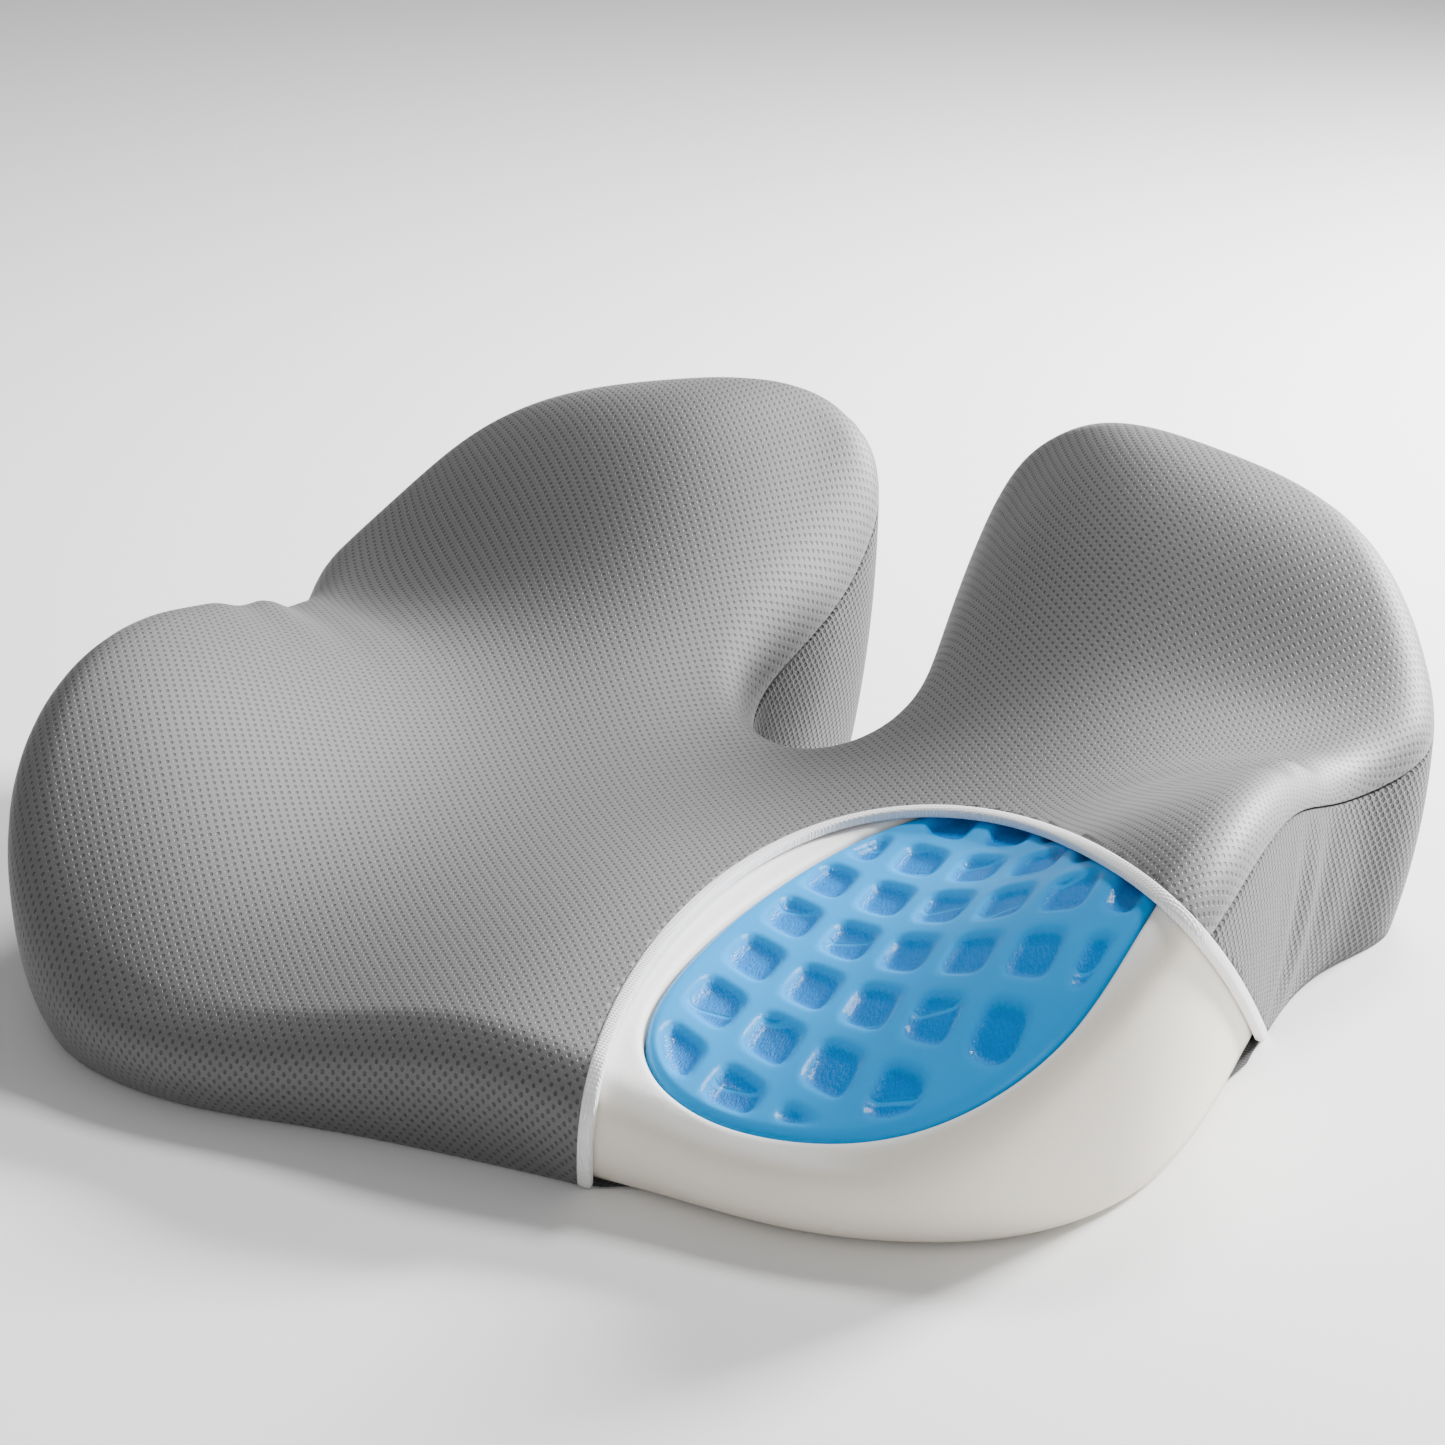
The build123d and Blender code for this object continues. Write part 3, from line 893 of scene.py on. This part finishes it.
MATERIALS = {
    "mesh_top": mesh_top_material(),
    "mesh_side": mesh_side_material(),
    "foam": foam_material(),
    "gel": gel_material(),
    "binding": woven_material("binding", (0.74, 0.74, 0.74, 1), (0.90, 0.90, 0.90, 1), 0.0040),
    "base_cloth": woven_material(
        "base_cloth", (0.012, 0.012, 0.013, 1), (0.045, 0.045, 0.048, 1), 0.006),
    "grip": moulded_material("grip", (0.02, 0.02, 0.02, 1), (0.035, 0.035, 0.036, 1), 0.45),
    "zip_tape": woven_material(
        "zip_tape", (0.010, 0.010, 0.011, 1), (0.04, 0.04, 0.042, 1), 0.004),
    "zip_plastic": moulded_material(
        "zip_plastic", (0.012, 0.012, 0.013, 1), (0.03, 0.03, 0.032, 1), 0.4),
    "thread": woven_material("thread", (0.16, 0.16, 0.165, 1), (0.30, 0.30, 0.31, 1), 0.003),
    "slider_metal": moulded_material(
        "slider_metal", (0.30, 0.31, 0.32, 1), (0.42, 0.43, 0.44, 1), 0.35, 1.0),
}


def build_cover():
    """Top cloth with its apron, the side band, the binding and the base cloths."""
    skin = whole_skin()
    top = top_surface().joined(apron_sheet()).joined(tucked_edge())
    piece = make_piece("top_cloth", cut_window(top), MATERIALS["mesh_top"], thickness=2.2)
    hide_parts("cover_top_panel")
    band = make_piece("side_cloth", cut_window(band_sheet()), MATERIALS["mesh_side"], thickness=2.2)
    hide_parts("cover_side_band")
    points, normals = window_edge(skin)
    tape = make_piece("window_tape", binding_sheet(points, normals), MATERIALS["binding"])
    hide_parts("window_binding")
    for front, label in ((True, "front"), (False, "rear")):
        cloth = make_piece(f"base_cloth_{label}", base_cloth(front), MATERIALS["base_cloth"])
        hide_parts(f"cover_base_{label}")
        dots = make_piece(f"grip_dots_{label}", grip_dots(front), MATERIALS["grip"])


def build_filling():
    """Foam core and the two gel pads."""
    foam = make_piece("foam", foam_sheet(), MATERIALS["foam"])
    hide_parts("foam_core")
    sheet, sunk = gel_sheet()
    depth = np.zeros(len(sheet.verts))
    depth[:len(sunk)] = sunk
    for side, label in ((1, "right"), (-1, "left")):
        turned = Sheet(sheet.verts * (side, 1, 1), sheet.faces, sheet.uv)
        pad = make_piece(f"gel_{label}", turned, MATERIALS["gel"])
        mark_dimples(pad, turned.verts, depth)
        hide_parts(f"gel_pad_{label}")


def mark_dimples(pad, verts, depth):
    """Stores how deep each vertex lies in a dimple, for the gel's colour, which is painted darker in the
    dimples as shade.
    """
    lookup = {tuple(np.round(v, 2)): d for v, d in zip(verts, depth)}
    layer = pad.data.attributes.new("dimple", "FLOAT", "POINT")
    found = []
    for vertex in pad.data.vertices:
        key = tuple(np.round(np.array(vertex.co) / MM, 2))
        found.append(lookup.get(key, 0.0))
    layer.data.foreach_set("value", found)


def dress_cad_pieces():
    """Gives the zip's pieces their materials."""
    slots = {entry["node"]: entry["material_slot"] for entry in frame["record"]["subparts"]}
    for name, node in frame["nodes"].items():
        node.data.materials.clear()
        node.data.materials.append(MATERIALS[slots[name]])


# ---- stage ---------------------------------------------------------------------------------
def build_stage():
    """Pale floor, white world and soft lights."""
    bpy.ops.mesh.primitive_plane_add(size=30, location=(0, 0, -0.0002))
    floor = bpy.context.object
    floor.name = "floor"
    n = Nodes("floor")
    n.set(Base_Color=(0.93, 0.93, 0.93, 1), Roughness=0.7, Specular_IOR_Level=0.2)
    floor.data.materials.append(n.material)
    world = bpy.data.worlds.new("studio")
    bpy.context.scene.world = world
    world.use_nodes = True
    world.node_tree.nodes["Background"].inputs["Color"].default_value = (1, 1, 1, 1)
    world.node_tree.nodes["Background"].inputs["Strength"].default_value = WORLD_STRENGTH
    for label, (place, size, power) in STUDIO_LIGHTS.items():
        add_light(label, place, size, power)


def add_light(name, place, size, power):
    """Soft square light aimed at the cushion."""
    light = bpy.data.lights.new(name, "AREA")
    light.size = size
    light.energy = power
    lamp = bpy.data.objects.new(name, light)
    bpy.context.scene.collection.objects.link(lamp)
    lamp.location = place
    lamp.rotation_euler = (Vector((0, 0, 0.05)) - Vector(place)).to_track_quat("-Z", "Y").to_euler()


def build_camera():
    """Camera in front of the cushion, to its right and above it."""
    az, el = radians(CAMERA_AZIMUTH), radians(CAMERA_ELEVATION)
    back = np.array((sin(az) * cos(el), -cos(az) * cos(el), sin(el)))
    data = bpy.data.cameras.new("camera")
    data.lens = CAMERA_LENS
    data.sensor_width = 36
    camera = bpy.data.objects.new("camera", data)
    bpy.context.scene.collection.objects.link(camera)
    camera.location = (CAMERA_TARGET + back * CAMERA_DISTANCE) * MM
    camera.rotation_euler = (pi / 2 - el, 0, az)
    bpy.context.scene.camera = camera


build_stage()
build_camera()
dress_cad_pieces()
build_filling()
build_cover()
